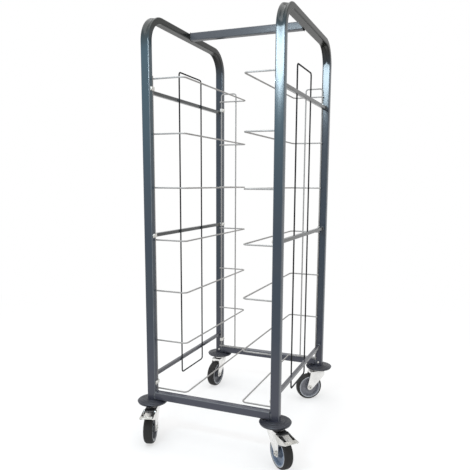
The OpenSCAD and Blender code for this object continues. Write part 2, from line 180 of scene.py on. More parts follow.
class Graph:
    """Node tree of a material or of the world, with one method that makes every node."""

    def __init__(self, name: str, kind: Owner = Owner.MATERIAL) -> None:
        """Starts a material or a world with an empty tree.

        Args:
            name: name of the material or world.
            kind: which of the two it is.
        """
        shelf, output = kind.value
        self.owner = getattr(bpy.data, shelf).new(name)
        self.owner.use_nodes = True
        self.tree = self.owner.node_tree
        self.tree.nodes.clear()
        self.output = self.node(output)

    @cached_property
    def texture(self) -> Node:
        """Node that gives the object's own coordinates and normals."""
        return self.node("ShaderNodeTexCoord")

    @property
    def coordinates(self) -> NodeSocket:
        """The object's own coordinates, in metres."""
        return self.texture.outputs["Object"]

    def node(self, kind: str, settings: dict | None = None, inputs: dict | None = None) -> Node:
        """Makes a node, its settings first and its sockets after them.

        Args:
            kind: node's type.
            settings: attributes of the node.
            inputs: values, signals or sockets by input name or number.

        Returns:
            The new node.
        """
        made = self.tree.nodes.new(kind)
        for key, value in (settings or {}).items():
            setattr(made, key, value)
        for key, value in (inputs or {}).items():
            source = value.socket if isinstance(value, Signal) else value
            if isinstance(source, NodeSocket):
                self.tree.links.new(source, made.inputs[key])
            elif isinstance(source, tuple) and made.inputs[key].type == "RGBA":
                made.inputs[key].default_value = (*source, 1.0)
            else:
                made.inputs[key].default_value = source
        return made

    def value(self, kind: str, settings: dict, inputs: dict, output: int | str = 0) -> Signal:
        """Makes a node and wraps one of its outputs, by name or number."""
        return Signal(self, self.node(kind, settings, inputs).outputs[output])

    def place(self, centre: Sequence[float], turn: Sequence[float] = (0, 0, 0)) -> NodeSocket:
        """Coordinates about a centre, turned.

        Args:
            centre: point that becomes the origin, in metres.
            turn: angles of the coordinates, in radians.

        Returns:
            The mapped coordinates.
        """
        moved = self.node(
            "ShaderNodeVectorMath", {"operation": "SUBTRACT"},
            {0: self.coordinates, 1: tuple(centre)},
        )
        mapped = self.node(
            "ShaderNodeMapping", {"vector_type": "POINT"},
            {"Vector": moved.outputs[0], "Rotation": tuple(turn)},
        )
        return mapped.outputs[0]

    def noise(self, scale: float, detail: float = 3.0, rough: float = 0.5) -> Signal:
        """Noise over the surface.

        Args:
            scale: waves per metre.
            detail: octaves.
            rough: weight of the fine octaves.

        Returns:
            Noise from 0 to 1.
        """
        return self.value(
            "ShaderNodeTexNoise", {"noise_dimensions": "3D"},
            {"Vector": self.coordinates, "Scale": scale, "Detail": detail, "Roughness": rough},
        )

    def axis(self, name: str, at: NodeSocket | None = None) -> Signal:
        """One axis, X, Y or Z, of coordinates or else of the object's own, in metres."""
        return self.value("ShaderNodeSeparateXYZ", {}, {0: at or self.coordinates}, name)

    def reach(self, vector: NodeSocket, axes: str) -> Signal:
        """Length of a vector over some of its axes.

        Args:
            vector: vector to measure.
            axes: letters of the axes that count.

        Returns:
            The length.
        """
        kept = tuple(1.0 if axis in axes else 0.0 for axis in "XYZ")
        part = self.node("ShaderNodeVectorMath", {"operation": "MULTIPLY"}, {0: vector, 1: kept})
        return self.value(
            "ShaderNodeVectorMath", {"operation": "LENGTH"}, {0: part.outputs[0]}, "Value",
        )

    def radius(self, at: NodeSocket) -> Signal:
        """Distance from the Z axis of coordinates, in metres."""
        return self.reach(at, "XY")

    def tube_edge(self, tube: Tube) -> Signal:
        """1 in the middle of a tube's rounded long edges, by its normals, and 0 on its faces."""
        first, second = (self.reach(self.texture.outputs["Normal"], axes) for axes in tube.value)
        return 2.0 * (first * second)

    def seen(self) -> Signal:
        """Tells rays that the camera sees, also mirrored or through glass, from those that light.

        Returns:
            1 to the rays that are seen, 0 to the others.
        """
        rays = self.node("ShaderNodeLightPath")
        camera, glossy, through = (Signal(self, rays.outputs[kind]) for kind in SEEN_RAYS)
        return (camera + glossy + through).least(1.0)

    def blend(self, amount: Operand, first: Tint, second: Tint) -> Signal:
        """Mix of two colours.

        Args:
            amount: share of the second colour.
            first: colour at 0.
            second: colour at 1.

        Returns:
            The mixed colour.
        """
        return self.value(
            "ShaderNodeMix", {"data_type": "RGBA", "clamp_factor": True},
            {0: amount, 6: first, 7: second}, 2,
        )

    def bump(self, height: Signal, depth: float, strength: float) -> NodeSocket:
        """Normal bent by a height of 0 to 1, its depth in metres and the share that shows."""
        inputs = {"Height": height, "Distance": depth, "Strength": strength}
        return self.node("ShaderNodeBump", {}, inputs).outputs[0]

    def close(self, shader: Node) -> Any:
        """Joins a shader to the output, and returns the finished material or world."""
        self.tree.links.new(shader.outputs[0], self.output.inputs["Surface"])
        return self.owner

    def surface(self, **inputs: Any) -> Material:
        """Closes the material with a Principled shader, given its sockets with _ for a space."""
        named = {key.replace("_", " "): value for key, value in inputs.items()}
        return self.close(self.node("ShaderNodeBsdfPrincipled", {}, named))


# In the finishes a pattern such as cloud or grain is in waves per metre. Depths, and spans over
# which a change begins and ends, are in metres.
@dataclass(frozen=True)
class GlossPaint:
    """Dark blue-grey stoved paint, duller on top, lighter low down, with painted light and shade
    on front, top and edges.
    """

    tube: Tube
    colour: Colour = (0.018, 0.031, 0.048)
    # Painted bluish light on the front faces, high up.
    painted_front_light: Colour = (0.028, 0.060, 0.074)
    dust: Colour = (0.031, 0.039, 0.050)
    # Painted shade on the tops of the tubes; a lighter value paints a highlight there instead.
    painted_top_shading: Colour = (0.012, 0.011, 0.007)
    # A lighter colour towards the bottom of the frame.
    low_tone: Colour = (0.051, 0.050, 0.068)
    rubbed: Colour = (0.15, 0.15, 0.15)
    # Painted highlights along the rounded long edges of the tubes.
    edge: Colour = (0.15, 0.16, 0.17)
    roughness: float = 0.21
    coat: float = 1.0
    cloud: float = 7.0
    smear: float = 31.0
    speck: float = 240.0
    scuff: float = 16.0
    peel: float = 650.0
    peel_depth: float = 0.00002
    scuff_z: Span = (0.1, 0.5)
    low_tone_z: Span = (0.12, 0.5)
    painted_front_light_z: Span = (0.65, 1.1)
    front_y: Span = (0.0, 0.2)
    edge_z: Span = (1.255, 1.275)
    top_z: Span = (1.28, 1.37)

    def material(self, name: str) -> Material:
        """Makes the paint.

        Args:
            name: material's name.

        Returns:
            The material.
        """
        graph = Graph(name)
        height = graph.axis("Z")
        cloud = graph.noise(self.cloud, 4.0)
        smear = graph.noise(self.smear, 2.0)
        specks = graph.noise(self.speck, 3.0, 0.7).step(0.70, 0.76)
        low = height.step(*self.scuff_z, 1.0, 0.25)
        scuff = specks * graph.noise(self.scuff).step(0.56, 0.70) * low
        top = (height + cloud * 0.1).step(*self.top_z)
        front = graph.axis("Y").step(*self.front_y, 1.0, 0.0)
        # Painted highlights along the rounded long edges, found from the normals and faded out in
        # the bends; these edges are also rougher and less coated.
        edge_highlight = graph.tube_edge(self.tube).step(0.45, 0.9) * smear.step(0.3, 0.6, 0.5, 0.75)
        edge_highlight = edge_highlight * height.step(*self.edge_z, 1.0, 0.1)
        colour = graph.blend(cloud.step(*PATCHES) * 0.5, self.colour, self.dust)
        colour = graph.blend(scuff * 0.6, colour, self.rubbed)
        # Painted bluish light on the front faces at mid height.
        colour = graph.blend(height.step(*self.painted_front_light_z, 0.0, 0.6) * front, colour, self.painted_front_light)
        # The tops of the tubes take painted shading: darker on the hoops, lighter on the crossbar.
        colour = graph.blend(top * 0.9, colour, self.painted_top_shading)
        # Lighter towards the bottom.
        colour = graph.blend(height.step(*self.low_tone_z, 0.75, 0.0), colour, self.low_tone)
        colour = graph.blend(edge_highlight, colour, self.edge)
        rough = self.roughness + smear.step(*DULL) * 0.1 + scuff * 0.2 + edge_highlight * 0.35
        gloss = self.coat * (1.0 - top * 0.35) * (1.0 - scuff * 0.6) * (1.0 - edge_highlight * 0.3)
        return graph.surface(
            Base_Color=colour, Roughness=rough, Metallic=0.0,
            Normal=graph.bump(graph.noise(self.peel, 1.0), self.peel_depth, 0.1),
            Specular_IOR_Level=0.0, Coat_Weight=gloss, Coat_Roughness=self.roughness,
        )


@dataclass(frozen=True)
class BrightMetal:
    """Zinc on wire, sheet and screws, with cloudy crystals and fine rubbing lines."""

    colour: Colour = (0.34, 0.33, 0.32)
    shade: Colour = (0.275, 0.267, 0.26)
    roughness: float = 0.48
    crystal: float = 120.0
    metallic: float = 0.6
    relief: float = 0.1
    cloud: float = 22.0
    grain: float = 900.0
    depth: float = 0.00003

    def material(self, name: str) -> Material:
        """Makes the metal.

        Args:
            name: material's name.

        Returns:
            The material.
        """
        graph = Graph(name)
        spread = {"Vector": graph.coordinates, "Scale": self.crystal}
        cells = graph.value("ShaderNodeTexVoronoi", {}, spread, "Distance")
        cloud = graph.noise(self.cloud, 5.0, 0.6)
        grain = graph.noise(self.grain, 2.0)
        colour = graph.blend(cloud.step(*PATCHES) * 0.6 + cells * 0.25, self.colour, self.shade)
        rough = self.roughness + cloud.step(*DULL) * 0.14 + grain * 0.06
        return graph.surface(
            Base_Color=colour, Roughness=rough, Metallic=self.metallic,
            Normal=graph.bump(grain + cells * 0.5, self.depth, self.relief),
        )


@dataclass(frozen=True)
class MouldedPlastic:
    """Moulded plastic, with fine grain, dust and dull rubbed places."""

    colour: Colour
    dust: Colour
    roughness: float
    cloud: float = 38.0
    grain: float = 1400.0
    depth: float = 0.00006

    def material(self, name: str) -> Material:
        """Makes the plastic.

        Args:
            name: material's name.

        Returns:
            The material.
        """
        graph = Graph(name)
        cloud = graph.noise(self.cloud, 5.0, 0.6)
        grain = graph.noise(self.grain, 2.0)
        dusty = cloud.step(*FEW_PATCHES) * 0.7 + grain * 0.12
        rough = self.roughness + cloud.step(*DULL) * 0.14 - grain * 0.08
        return graph.surface(
            Base_Color=graph.blend(dusty, self.colour, self.dust), Roughness=rough, Metallic=0.0,
            Normal=graph.bump(grain, self.depth, 0.5),
        )


@dataclass(frozen=True)
class RidgedRubber:
    """Rubber of a bumper disc, with round ridges about its middle and dust between them."""

    colour: Colour = (0.008, 0.010, 0.018)
    dust: Colour = (0.023, 0.025, 0.036)
    roughness: float = 0.36
    ridge: float = 0.0042
    ridges_from: Span = (0.019, 0.022)
    ridges_to: Span = (0.0455, 0.047)
    cloud: float = 45.0
    grain: float = 1300.0
    depth: float = 0.0008

    def material(self, name: str, centre: Sequence[float]) -> Material:
        """Makes the rubber.

        Args:
            name: material's name.
            centre: middle of the disc, in metres.

        Returns:
            The material.
        """
        graph = Graph(name)
        radius = graph.radius(graph.place(centre))
        inside = radius.step(*self.ridges_to, 1.0, 0.0)
        ridges = radius.wave(self.ridge) * radius.step(*self.ridges_from) * inside
        cloud = graph.noise(self.cloud, 5.0, 0.6)
        grain = graph.noise(self.grain, 2.0)
        dusty = cloud.step(*FEW_PATCHES) * 0.4 + (1.0 - ridges) * 0.35 + grain * 0.1
        return graph.surface(
            Base_Color=graph.blend(dusty, self.colour, self.dust),
            Roughness=self.roughness + cloud.step(*DULL) * 0.14, Metallic=0.0,
            Normal=graph.bump(ridges + grain * 0.08, self.depth, 0.9),
        )


@dataclass(frozen=True)
class WheelRubber:
    """Rubber of a tyre, rubbed grey and dusty where it rolls, with fine moulding lines."""

    colour: Colour = (0.004, 0.004, 0.004)
    dust: Colour = (0.017, 0.016, 0.015)
    roughness: float = 0.6
    rolled_from: Span = (0.0475, 0.0496)
    line: float = 0.0016
    cloud: float = 60.0
    grain: float = 1500.0
    depth: float = 0.00012

    def material(self, name: str, centre: Sequence[float], turn: Sequence[float]) -> Material:
        """Makes the rubber.

        Args:
            name: material's name.
            centre: middle of the wheel, in metres.
            turn: angles that lay the axle along Z.

        Returns:
            The material.
        """
        graph = Graph(name)
        local = graph.place(centre, turn)
        rolled = graph.radius(local).step(*self.rolled_from)
        cloud = graph.noise(self.cloud, 5.0, 0.65)
        grain = graph.noise(self.grain, 2.0)
        lines = graph.axis("Z", local).wave(self.line) * rolled
        dusty = rolled * (0.35 + cloud.step(*PATCHES) * 0.5) + grain * 0.08
        return graph.surface(
            Base_Color=graph.blend(dusty, self.colour, self.dust),
            Roughness=self.roughness + rolled * 0.15 + cloud * 0.1, Metallic=0.0,
            Normal=graph.bump(grain * 0.6 + lines * 0.4, self.depth, 0.5),
        )


@dataclass(frozen=True)
class WheelPlastic:
    """Grey plastic of a wheel's rim, with turned rings and dark grease about the hub."""

    colour: Colour = (0.095, 0.100, 0.115)
    dust: Colour = (0.135, 0.140, 0.150)
    grease: Colour = (0.05, 0.05, 0.052)
    roughness: float = 0.3
    ring: float = 0.0011
    greasy_to: Span = (0.0135, 0.0175)
    cloud: float = 55.0
    grain: float = 1200.0
    depth: float = 0.00005

    def material(self, name: str, centre: Sequence[float], turn: Sequence[float]) -> Material:
        """Makes the plastic.

        Args:
            name: material's name.
            centre: middle of the wheel, in metres.
            turn: angles that lay the axle along Z.

        Returns:
            The material.
        """
        graph = Graph(name)
        radius = graph.radius(graph.place(centre, turn))
        cloud = graph.noise(self.cloud, 5.0, 0.6)
        grain = graph.noise(self.grain, 2.0)
        rings = radius.wave(self.ring)
        greasy = radius.step(*self.greasy_to, 1.0, 0.0) * (0.4 + cloud * 0.6)
        colour = graph.blend(cloud.step(0.4, 0.75) * 0.6 + rings * 0.08, self.colour, self.dust)
        return graph.surface(
            Base_Color=graph.blend(greasy * 0.7, colour, self.grease),
            Roughness=self.roughness + cloud.step(*DULL) * 0.15 - greasy * 0.08, Metallic=0.0,
            Normal=graph.bump(rings * 0.5 + grain * 0.3, self.depth, 0.5),
        )


@dataclass(frozen=True)
class Lamp:
    """One soft lamp: its place, what it looks at and its two sides, in metres, and its light."""

    name: str
    place: Triple
    aim: Triple
    size: Span
    watts: float
    colour: Colour = WHITE

    def build(self) -> None:
        """Hangs the lamp and points it."""
        data = bpy.data.lights.new(self.name, "AREA")
        data.shape = "RECTANGLE"
        data.size, data.size_y = self.size
        data.energy = self.watts
        data.color = self.colour
        lamp = bpy.data.objects.new(self.name, data)
        lamp.location = self.place
        way = Vector(self.aim) - Vector(self.place)
        lamp.rotation_euler = way.to_track_quat("-Z", "Y").to_euler()
        bpy.context.scene.collection.objects.link(lamp)


@dataclass(frozen=True)
class Studio:
    """Floor, lamps, world and the camera that stands where the photographer stood."""

    camera_at: Triple = (0.69058, -1.70770, 0.84818)
    yaw: float = 0.3728
    pitch: float = -0.1454
    roll: float = 0.0085
    focal_share: float = 527.24 / 470
    shift: Span = (-0.0317, 0.0522)
    sensor: float = 36.0
    nearest: float = 0.05
    lamps: tuple[Lamp, ...] = (
        Lamp("window", (-0.13, -1.28, 1.515), (-0.13, 0.0, 1.515), (0.41, 0.29), 14.0,
             (0.71, 0.89, 1.0)),
        Lamp("ceiling", (0.0, 0.0, 5.0), (0.0, 0.0, 0.0), (5.0, 5.0), 170.0),
    )
    room_light: float = 0.75
    floor_side: float = 60.0
    floor_colour: Colour = (0.86, 0.86, 0.86)
    floor_dust: Colour = (0.8, 0.8, 0.8)
    floor_grain: float = 90.0
    floor_white: float = 0.6
    white_from: Span = (1.0, 2.6)

    def build(self) -> None:
        """Sets the camera, lamps, world and floor."""
        bpy.context.scene.view_settings.view_transform = "Standard"
        self._camera()
        self._world()
        self._floor()
        for lamp in self.lamps:
            lamp.build()

    def _camera(self) -> None:
        """Adds the camera."""
        data = bpy.data.cameras.new("photo_camera")
        data.sensor_width = self.sensor
        data.lens = self.focal_share * self.sensor
        data.shift_x, data.shift_y = self.shift
        data.clip_start = self.nearest
        camera = bpy.data.objects.new("photo_camera", data)
        camera.matrix_world = (
            Matrix.Translation(self.camera_at)
            @ Matrix.Rotation(self.yaw, 4, "Z")
            @ Matrix.Rotation(math.pi / 2 + self.pitch, 4, "X")
            @ Matrix.Rotation(self.roll, 4, "Z")
        )
        bpy.context.scene.collection.objects.link(camera)
        bpy.context.scene.camera = camera

    def _world(self) -> None:
        """Makes the room: grey as a light, white as the background that is seen and mirrored."""
        graph = Graph("room", Owner.WORLD)
        strength = graph.seen().step(0.0, 1.0, self.room_light, 1.0)
        room = graph.node("ShaderNodeBackground", {}, {"Color": WHITE, "Strength": strength})
        bpy.context.scene.world = graph.close(room)

    def _floor(self) -> None:
        """Adds the pale floor, which stays white to the camera apart from the shadow."""
        bpy.ops.object.select_all(action="DESELECT")
        bpy.ops.mesh.primitive_plane_add(size=self.floor_side)
        floor = bpy.context.object
        floor.name = "floor"
        graph = Graph("floor_white")
        dusty = graph.noise(self.floor_grain) * 0.2
        pale = graph.blend(dusty, self.floor_colour, self.floor_dust)
        matt = graph.node("ShaderNodeBsdfDiffuse", {}, {"Color": pale})
        white = graph.node("ShaderNodeEmission", {}, {"Color": WHITE, "Strength": 1.0})
        far = graph.radius(graph.coordinates).step(*self.white_from, self.floor_white, 1.0)
        shaders = {0: graph.seen() * far, 1: matt.outputs[0], 2: white.outputs[0]}
        floor.data.materials.append(graph.close(graph.node("ShaderNodeMixShader", {}, shaders)))


class Bench:
    """Modelling by hand: primitives, selections by place or normal, copies and finishing."""

    @staticmethod
    def start(add: Callable[..., Any], **sizes: Any) -> Object:
        """Adds a primitive with nothing else selected, and opens it in edit mode.

        Args:
            add: operator that adds the primitive.
            sizes: the operator's settings.

        Returns:
            The new object.
        """
        bpy.ops.object.select_all(action="DESELECT")
        add(**sizes)
        piece = bpy.context.object
        bpy.ops.object.mode_set(mode="EDIT")
        bpy.ops.mesh.select_all(action="DESELECT")
        return piece

    @staticmethod
    def choose(piece: Object, kind: Element, test: Callable[[Any], bool]) -> None:
        """Selects the elements that pass a test.

        Args:
            piece: object in edit mode.
            kind: kind of element.
            test: says whether an element is wanted.
        """
        bpy.ops.mesh.select_mode(type=kind.value)
        bpy.ops.mesh.select_all(action="DESELECT")
        mesh = bmesh.from_edit_mesh(piece.data)
        wanted = [element for element in getattr(mesh, kind.name.lower()) if test(element)]
        for element in wanted:
            element.select_set(True)
        mesh.select_flush_mode()
        bmesh.update_edit_mesh(piece.data)

    @staticmethod
    def extrude(way: Sequence[float]) -> None:
        """Extrudes what is selected by a distance on each axis."""
        bpy.ops.mesh.extrude_region_move(TRANSFORM_OT_translate={"value": way})

    @staticmethod
    def close(piece: Object, angle: float = SOFT_ANGLE) -> None:
        """Merges doubles, turns normals outwards, leaves edit mode and smooths the soft edges.

        Args:
            piece: object in edit mode.
            angle: steepest edge that is smoothed, in degrees.
        """
        bpy.ops.mesh.select_all(action="SELECT")
        bpy.ops.mesh.remove_doubles(threshold=MERGE)
        bpy.ops.mesh.normals_make_consistent(inside=False)
        bpy.ops.object.mode_set(mode="OBJECT")
        bpy.ops.object.select_all(action="DESELECT")
        piece.select_set(True)
        bpy.context.view_layer.objects.active = piece
        bpy.ops.object.transform_apply(location=True, rotation=True, scale=True)
        bpy.ops.object.shade_smooth_by_angle(angle=math.radians(angle))

    @staticmethod
    def repeat(piece: Object, places: Sequence[Matrix], name: str) -> Object:
        """Copies a piece to each place, each copy with its own mesh, and joins the copies.

        Args:
            piece: piece modelled at the origin, which is used up.
            places: where the copies go, in metres.
            name: name of the joined piece.

        Returns:
            The joined piece.
        """
        bpy.ops.object.select_all(action="DESELECT")
        for place in places:
            twin = piece.copy()
            twin.data = piece.data.copy()
            twin.data.transform(place)
            bpy.context.scene.collection.objects.link(twin)
            twin.select_set(True)
            bpy.context.view_layer.objects.active = twin
        bpy.data.objects.remove(piece)
        if len(places) > 1:
            bpy.ops.object.join()
        joined = bpy.context.view_layer.objects.active
        joined.name = name
        joined.data.name = name
        return joined

    @staticmethod
    def dome(
        radius: float, height: float, hidden: float, sides: int = 28, steps: int = 7,
    ) -> Object:
        """Models a domed head that stands on z = 0, by raising and shrinking a disc's top.

        Args:
            radius: radius of the head.
            height: height of the dome.
            hidden: how far the head goes on below z = 0.
            sides: sides of the disc.
            steps: rings of the dome.

        Returns:
            The head.
        """
        steepest = math.radians(82.0)
        piece = Bench.start(
            bpy.ops.mesh.primitive_cylinder_add, vertices=sides, radius=radius, depth=hidden,
            location=(0, 0, -hidden / 2),
        )
        level, width = 0.0, radius
        for step in range(1, steps + 1):
            angle = steepest * step / steps
            Bench.choose(piece, Element.FACES, lambda face: face.normal.z > FACING)
            rise, reach = height * math.sin(angle), radius * math.cos(angle)
            Bench.extrude((0, 0, rise - level))
            share = reach / width
            bpy.ops.transform.resize(value=(share, share, 1.0))
            level, width = rise, reach
        Bench.close(piece)
        return piece

    @staticmethod
    def weld_spot(size: Triple) -> Object:
        """Models a weld spot between two crossing wires.

        Args:
            size: its three sides, in metres.

        Returns:
            The spot at the origin.
        """
        spot = Bench.start(bpy.ops.mesh.primitive_cube_add, size=1.0, scale=size)
        bpy.ops.mesh.select_all(action="SELECT")
        bpy.ops.mesh.bevel(affect="EDGES", offset=min(size) * 0.45, segments=3)
        Bench.close(spot, WELD_ANGLE)
        return spot


def upright(axis: Vector, at: Vector, roll: float = 0.0) -> Matrix:
    """Place of a piece modelled along +Z: a point, the way that +Z takes and a roll about it."""
    turn = axis.to_track_quat("Z", "Y").to_matrix().to_4x4()
    return Matrix.Translation(at) @ turn @ Matrix.Rotation(roll, 4, "Z")


def middle_height(node: str) -> float:
    """Height of the middle of a CAD node, in metres."""
    low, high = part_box(node)
    return (low[2] + high[2]) / 2


def attach(piece: Object, body: str, material: Material) -> None:
    """Dresses a finished piece and fixes it to a body.

    Args:
        piece: piece to fix.
        body: body that carries it.
        material: its material.
    """
    piece.data.materials.clear()
    piece.data.materials.append(material)
    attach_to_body(piece, body)
    LOG.info("%s: %d faces on %s", piece.name, len(piece.data.polygons), body)


@dataclass
class TubeFrame:
    """Hoops, rails, bars and side loops, with the welds that join them. Sizes in metres."""

    paint: Material
    inner_x: float = 0.200
    upright_x: float = 0.215
    upright_y: float = 0.268
    inner_y: float = 0.258
    rail: float = 0.025
    rail_round: float = 0.0035
    bar: float = 0.012
    bar_round: float = 0.002
    round_steps: int = 5
    weld: float = 0.0016
    loop_half: float = 0.081
    loop_sink: float = 0.0003
    loop_spot: Triple = (0.0022, 0.0072, 0.0085)
    tube_depth: float = 0.020
    tube_round: float = 0.0035
    tube_wall: float = 0.0015
    face_cuts: int = 9
    bend: float = 0.085
    bend_steps: int = 18
    outer_dish: Span = (0.0045, 0.0072)
    inner_dish: float = 0.003
    dish_half: float = 0.0118
    dish_rise: float = 2.2
    fillet_lap: float = 0.0005
    fillet_toe: float = 0.002
    fillet_sink: float = 0.0002
    fillet_round: float = 0.0006

    def build(self) -> None:
        """Models the hoops and the welds."""
        for side, name, dish in zip(BOTH, ("left_hoop", "right_hoop"), self.outer_dish):
            self._hoop(side, name, dish)
        self._rail_welds()
        self._rail_fillets()
        self._bar_welds()
        self._loop_welds()

    def _fix(self, model: Object, places: Sequence[Matrix], name: str) -> None:
        """Copies a weld to its places on the frame, as one piece painted like the frame."""
        attach(Bench.repeat(model, places, name), "frame", self.paint)

    def _hoop(self, side: int, name: str, dish: float) -> None:
        """A hoop whose bends are dished, as bent tube is, in place of the plain one.

        Args:
            side: -1 for the left hoop, 1 for the right one.
            name: node that the hoop stands for.
            dish: how deep the outer walls of its bends are pressed in.
        """
        low, high = (Vector(corner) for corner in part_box(name))
        tube = Bench.start(bpy.ops.mesh.primitive_plane_add, size=self.tube_depth)
        bpy.ops.mesh.select_all(action="SELECT")
        bpy.ops.transform.resize(value=((high.x - low.x) / self.tube_depth, 1.0, 1.0))
        bpy.ops.mesh.bevel(affect="VERTICES", offset=self.tube_round, segments=self.round_steps)
        bpy.ops.mesh.select_all(action="SELECT")
        bpy.ops.mesh.delete(type="ONLY_FACE")
        Bench.choose(tube, Element.EDGES, lambda edge: edge.calc_length() > self.tube_depth / 4)
        bpy.ops.mesh.subdivide(number_cuts=self.face_cuts)
        bpy.ops.mesh.select_all(action="SELECT")
        bpy.ops.transform.translate(value=(0, self.tube_depth / 2 - high.y, low.z))
        height, reach = high.z - self.bend, high.y - self.bend
        for way, sign in (((0, 0, height - low.z), -1), ((0, 2 * reach, 0), 1)):
            Bench.extrude(way)
            bpy.ops.mesh.spin(
                steps=self.bend_steps, angle=math.pi / 2, center=(0, sign * reach, height),
                axis=(1, 0, 0),
            )
        Bench.extrude((0, 0, low.z - height))
        for sign in BOTH:
            self._dish(tube, Vector((0, sign * reach, height)), sign, dish)
        Bench.close(tube)
        wall = tube.modifiers.new("wall", "SOLIDIFY")
        wall.thickness = self.tube_wall
        wall.offset = -1.0
        bpy.ops.object.modifier_apply(modifier=wall.name)
        bpy.ops.object.shade_smooth_by_angle(angle=math.radians(SOFT_ANGLE))
        place = Matrix.Translation((side * self.upright_x, 0, 0))
        piece = Bench.repeat(tube, [place], f"{name}_tube")
        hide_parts(name)
        attach(piece, "frame", self.paint)

    def _dish(self, tube: Object, centre: Vector, sign: int, dish: float) -> None:
        """Presses in the middle of a bend's outer and inner walls.

        Args:
            tube: hoop in edit mode.
            centre: middle of the bend.
            sign: -1 for the front bend, 1 for the back one.
            dish: how deep the outer wall is pressed in.
        """
        walls = ((self.bend, -dish), (self.bend - self.tube_depth, self.inner_dish))
        mesh = bmesh.from_edit_mesh(tube.data)
        across = (abs(vert.co.x) for vert in mesh.verts)
        lines = sorted({round(x, 5) for x in across if x < self.dish_half})
        for step in range(1, self.bend_steps):
            angle = math.pi / 2 * step / self.bend_steps
            out = Vector((0, sign * math.cos(angle), math.sin(angle)))
            share = min(1.0, self.dish_rise * math.sin(2 * angle) ** 2)
            for radius, depth in walls:
                at = centre + out * radius
                for line in lines:
                    Bench.choose(tube, Element.VERTS, lambda vert: self._on(vert.co, at, line))
                    push = depth * share * math.cos(math.pi / 2 * line / self.dish_half) ** 2
                    bpy.ops.transform.translate(value=out * push)

    def _on(self, point: Vector, at: Vector, line: float) -> bool:
        """Whether a point lies beside a place in a bend, a distance to either side of it."""
        beside = abs(abs(point.x) - line) < SAME_PLACE
        return beside and (point.yz - at.yz).length < SAME_PLACE

    def _ring(self, side: float, round_edge: float) -> Object:
        """Models the weld round the end of a square tube, on z = 0.

        Args:
            side: side of the tube.
            round_edge: radius of its long edges.

        Returns:
            The weld.
        """
        outer = side + 2 * self.weld
        ring = Bench.start(bpy.ops.mesh.primitive_plane_add, size=outer)
        bpy.ops.mesh.select_all(action="SELECT")
        bpy.ops.mesh.bevel(
            affect="VERTICES", offset=round_edge + self.weld, segments=self.round_steps,
        )
        Bench.choose(ring, Element.FACES, lambda face: True)
        bpy.ops.mesh.inset(thickness=self.weld * 1.05)
        bpy.ops.mesh.delete(type="FACE")
        Bench.choose(ring, Element.FACES, lambda face: True)
        Bench.extrude((0, 0, self.weld))
        limit = side / 2 + self.weld / 2
        corner = side / 2 - round_edge
        reach = round_edge + self.weld / 2

        def outside(vert: Any) -> bool:
            """Tells which vertices lie on the raised outer edge.

            Args:
                vert: vertex to judge.

            Returns:
                Whether it lies there.
            """
            x, y = abs(vert.co.x), abs(vert.co.y)
            rounded = x > corner and y > corner and math.hypot(x - corner, y - corner) > reach
            return (max(x, y) > limit or rounded) and vert.co.z > self.weld / 2

        Bench.choose(ring, Element.VERTS, outside)
        share = (side + 0.5 * self.weld) / outer
        bpy.ops.transform.resize(value=(share, share, 1.0))
        Bench.close(ring, WELD_ANGLE)
        return ring

    def _rail_welds(self) -> None:
        """Welds of the bottom rails and of the crossbar to the hoops."""
        low, high = middle_height("front_bottom_rail"), middle_height("top_crossbar")
        spots = [(self.upright_y * sign, low) for sign in BOTH] + [(0.0, high)]
        places = [
            upright(Vector((-side, 0, 0)), Vector((side * self.inner_x, y, z)))
            for side in BOTH for y, z in spots
        ]
        self._fix(self._ring(self.rail, self.rail_round), places, "rail_welds")

    def _rail_fillets(self) -> None:
        """Welds that fill the step between a bottom rail's faces and the uprights."""
        step = (self.rail - self.tube_depth) / 2
        toe, depth = self.tube_round + self.fillet_toe, step + self.tube_round
        fillet = Bench.start(
            bpy.ops.mesh.primitive_cube_add, size=1.0,
            location=((toe - self.fillet_lap) / 2, depth / 2, 0),
            scale=(toe + self.fillet_lap, depth, self.rail - 2 * self.rail_round),
        )
        Bench.choose(fillet, Element.VERTS, lambda vert: vert.co.x > 0 and vert.co.y < step / 2)
        bpy.ops.transform.translate(value=(0, step - self.fillet_sink, 0))
        Bench.choose(
            fillet, Element.EDGES, lambda edge: all(vert.co.y < step for vert in edge.verts),
        )
        bpy.ops.mesh.bevel(offset=self.fillet_round, segments=3)
        Bench.close(fillet)
        z = middle_height("front_bottom_rail")
        places = []
        for side in BOTH:
            for y in (-self.upright_y, self.upright_y):
                for face in BOTH:
                    turn = Matrix.Rotation(math.pi if side < 0 else 0.0, 4, "Y")
                    turn @= Matrix.Rotation(math.pi if face > 0 else 0.0, 4, "X")
                    at = (side * self.inner_x, y + face * self.rail / 2, z)
                    places.append(Matrix.Translation(at) @ turn)
        self._fix(fillet, places, "rail_fillets")

    def _bar_welds(self) -> None:
        """Welds of the side bars to the uprights."""
        places = []
        for level in BAR_LEVELS:
            z = middle_height(f"left_{level}_bar")
            places += [
                upright(
                    Vector((0, -sign, 0)), Vector((side * self.upright_x, sign * self.inner_y, z)),
                )
                for side in BOTH for sign in BOTH
            ]
        self._fix(self._ring(self.bar, self.bar_round), places, "bar_welds")

    def _loop_welds(self) -> None:
        """Weld spots of the side loops on the bars."""
        places = []
        for side in BOTH:
            x = side * (self.upright_x - self.bar / 2 - self.loop_sink)
            for level in BAR_LEVELS:
                z = middle_height(f"left_{level}_bar")
                places += [Matrix.Translation((x, sign * self.loop_half, z)) for sign in BOTH]
        self._fix(Bench.weld_spot(self.loop_spot), places, "loop_welds")


